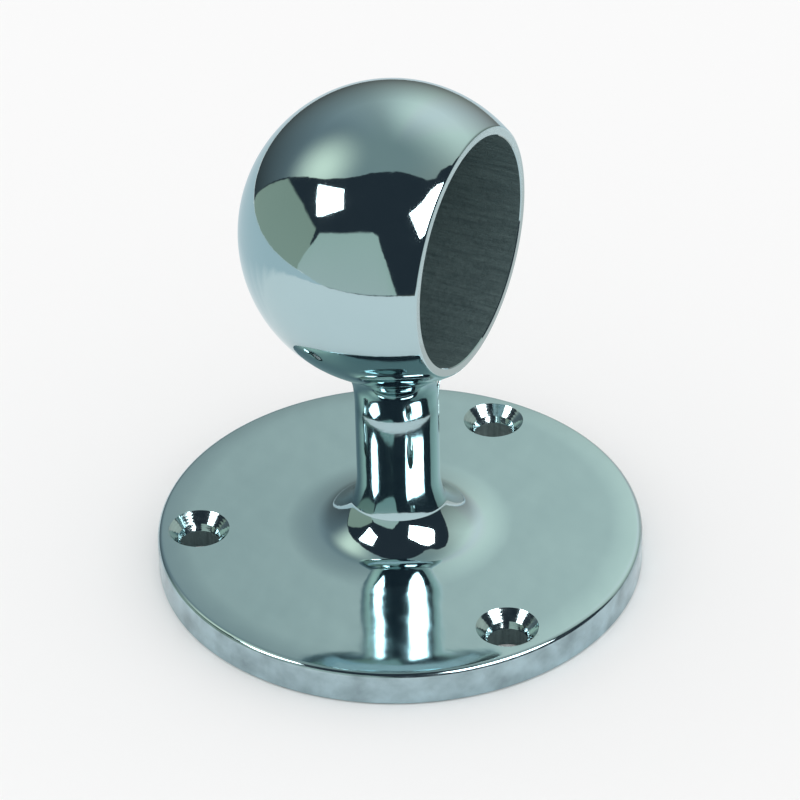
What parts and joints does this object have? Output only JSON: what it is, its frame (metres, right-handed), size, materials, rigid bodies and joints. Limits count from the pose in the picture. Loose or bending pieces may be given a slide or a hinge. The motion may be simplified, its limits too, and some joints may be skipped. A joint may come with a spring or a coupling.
{
  "type": "ball-type handrail end bracket",
  "caption": "Round screw-down wall or post plate with a short stem and a ball, cut flat on one side and bored to take the end of a handrail tube.",
  "frame": {"origin": "centre of the round plate's underside", "axes": "+Z out of the plate, up the stem; +X out of the socket's mouth, along the tube; +Y completes the right-handed set"},
  "size_m": [0.082, 0.082, 0.0896],
  "materials": {
    "chrome_plate": "mirror-polished chrome plate on a brass casting, duller inside the socket and on the underside"
  },
  "bodies": {
    "root": {"end_bracket": "chrome_plate"}
  },
  "joints": []
}
